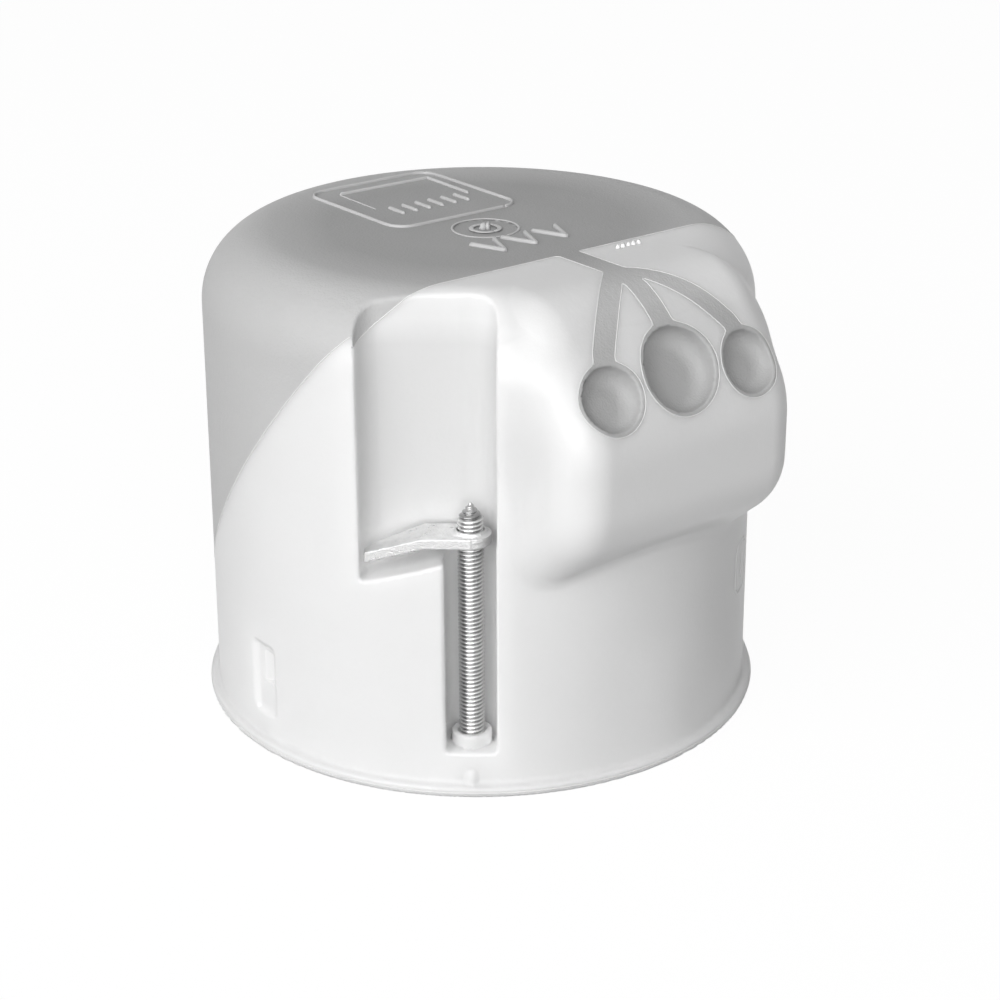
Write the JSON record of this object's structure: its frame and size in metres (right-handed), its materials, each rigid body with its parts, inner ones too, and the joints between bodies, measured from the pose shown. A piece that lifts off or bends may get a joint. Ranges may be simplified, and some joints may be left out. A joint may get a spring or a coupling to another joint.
{
  "type": "drywall back box",
  "caption": "Round cavity wall back box with a hard shell, a soft rear wall, a bulge with dished cable entries, and swinging screw claws.",
  "frame": {"origin": "centre of the open front, in the plane of the flange's front face", "axes": "+Z from the open front towards the box's back, up in the picture; +X towards the bulge"},
  "size_m": [0.0741, 0.0696, 0.0592],
  "materials": {
    "hard_shell": "satin",
    "soft_wall": "matt, fine grain",
    "claw_steel": "zinc plated",
    "screw_steel": "zinc plated"
  },
  "bodies": {
    "box": {"housing": "hard_shell", "soft_wall": "soft_wall"},
    "claw_a": {"claw_a": "claw_steel"},
    "claw_b": {"claw_b": "claw_steel"},
    "claw_screw_a": {"claw_screw_a": "screw_steel"},
    "claw_screw_b": {"claw_screw_b": "screw_steel"},
    "device_screw_a": {"device_screw_a": "screw_steel"},
    "device_screw_b": {"device_screw_b": "screw_steel"}
  },
  "joints": [
    {"name": "claw_a_swing", "type": "hinge", "parent": "box", "child": "claw_a", "pos_m": [0.02335, -0.01931, 0.0312], "axis": [0, 0, 1], "range_deg": [0, 90]},
    {"name": "claw_b_swing", "type": "hinge", "parent": "box", "child": "claw_b", "pos_m": [-0.02335, 0.01931, 0.0312], "axis": [0, 0, 1], "range_deg": [0, 90]},
    {"name": "claw_screw_a_turn", "type": "hinge", "parent": "box", "child": "claw_screw_a", "pos_m": [0.02335, -0.01931, 0.003], "axis": [0, 0, 1], "continuous": true},
    {"name": "claw_screw_b_turn", "type": "hinge", "parent": "box", "child": "claw_screw_b", "pos_m": [-0.02335, 0.01931, 0.003], "axis": [0, 0, 1], "continuous": true},
    {"name": "device_screw_a_turn", "type": "hinge", "parent": "box", "child": "device_screw_a", "pos_m": [0, -0.03, 0.003], "axis": [0, 0, 1], "continuous": true},
    {"name": "device_screw_b_turn", "type": "hinge", "parent": "box", "child": "device_screw_b", "pos_m": [0, 0.03, 0.003], "axis": [0, 0, 1], "continuous": true}
  ]
}
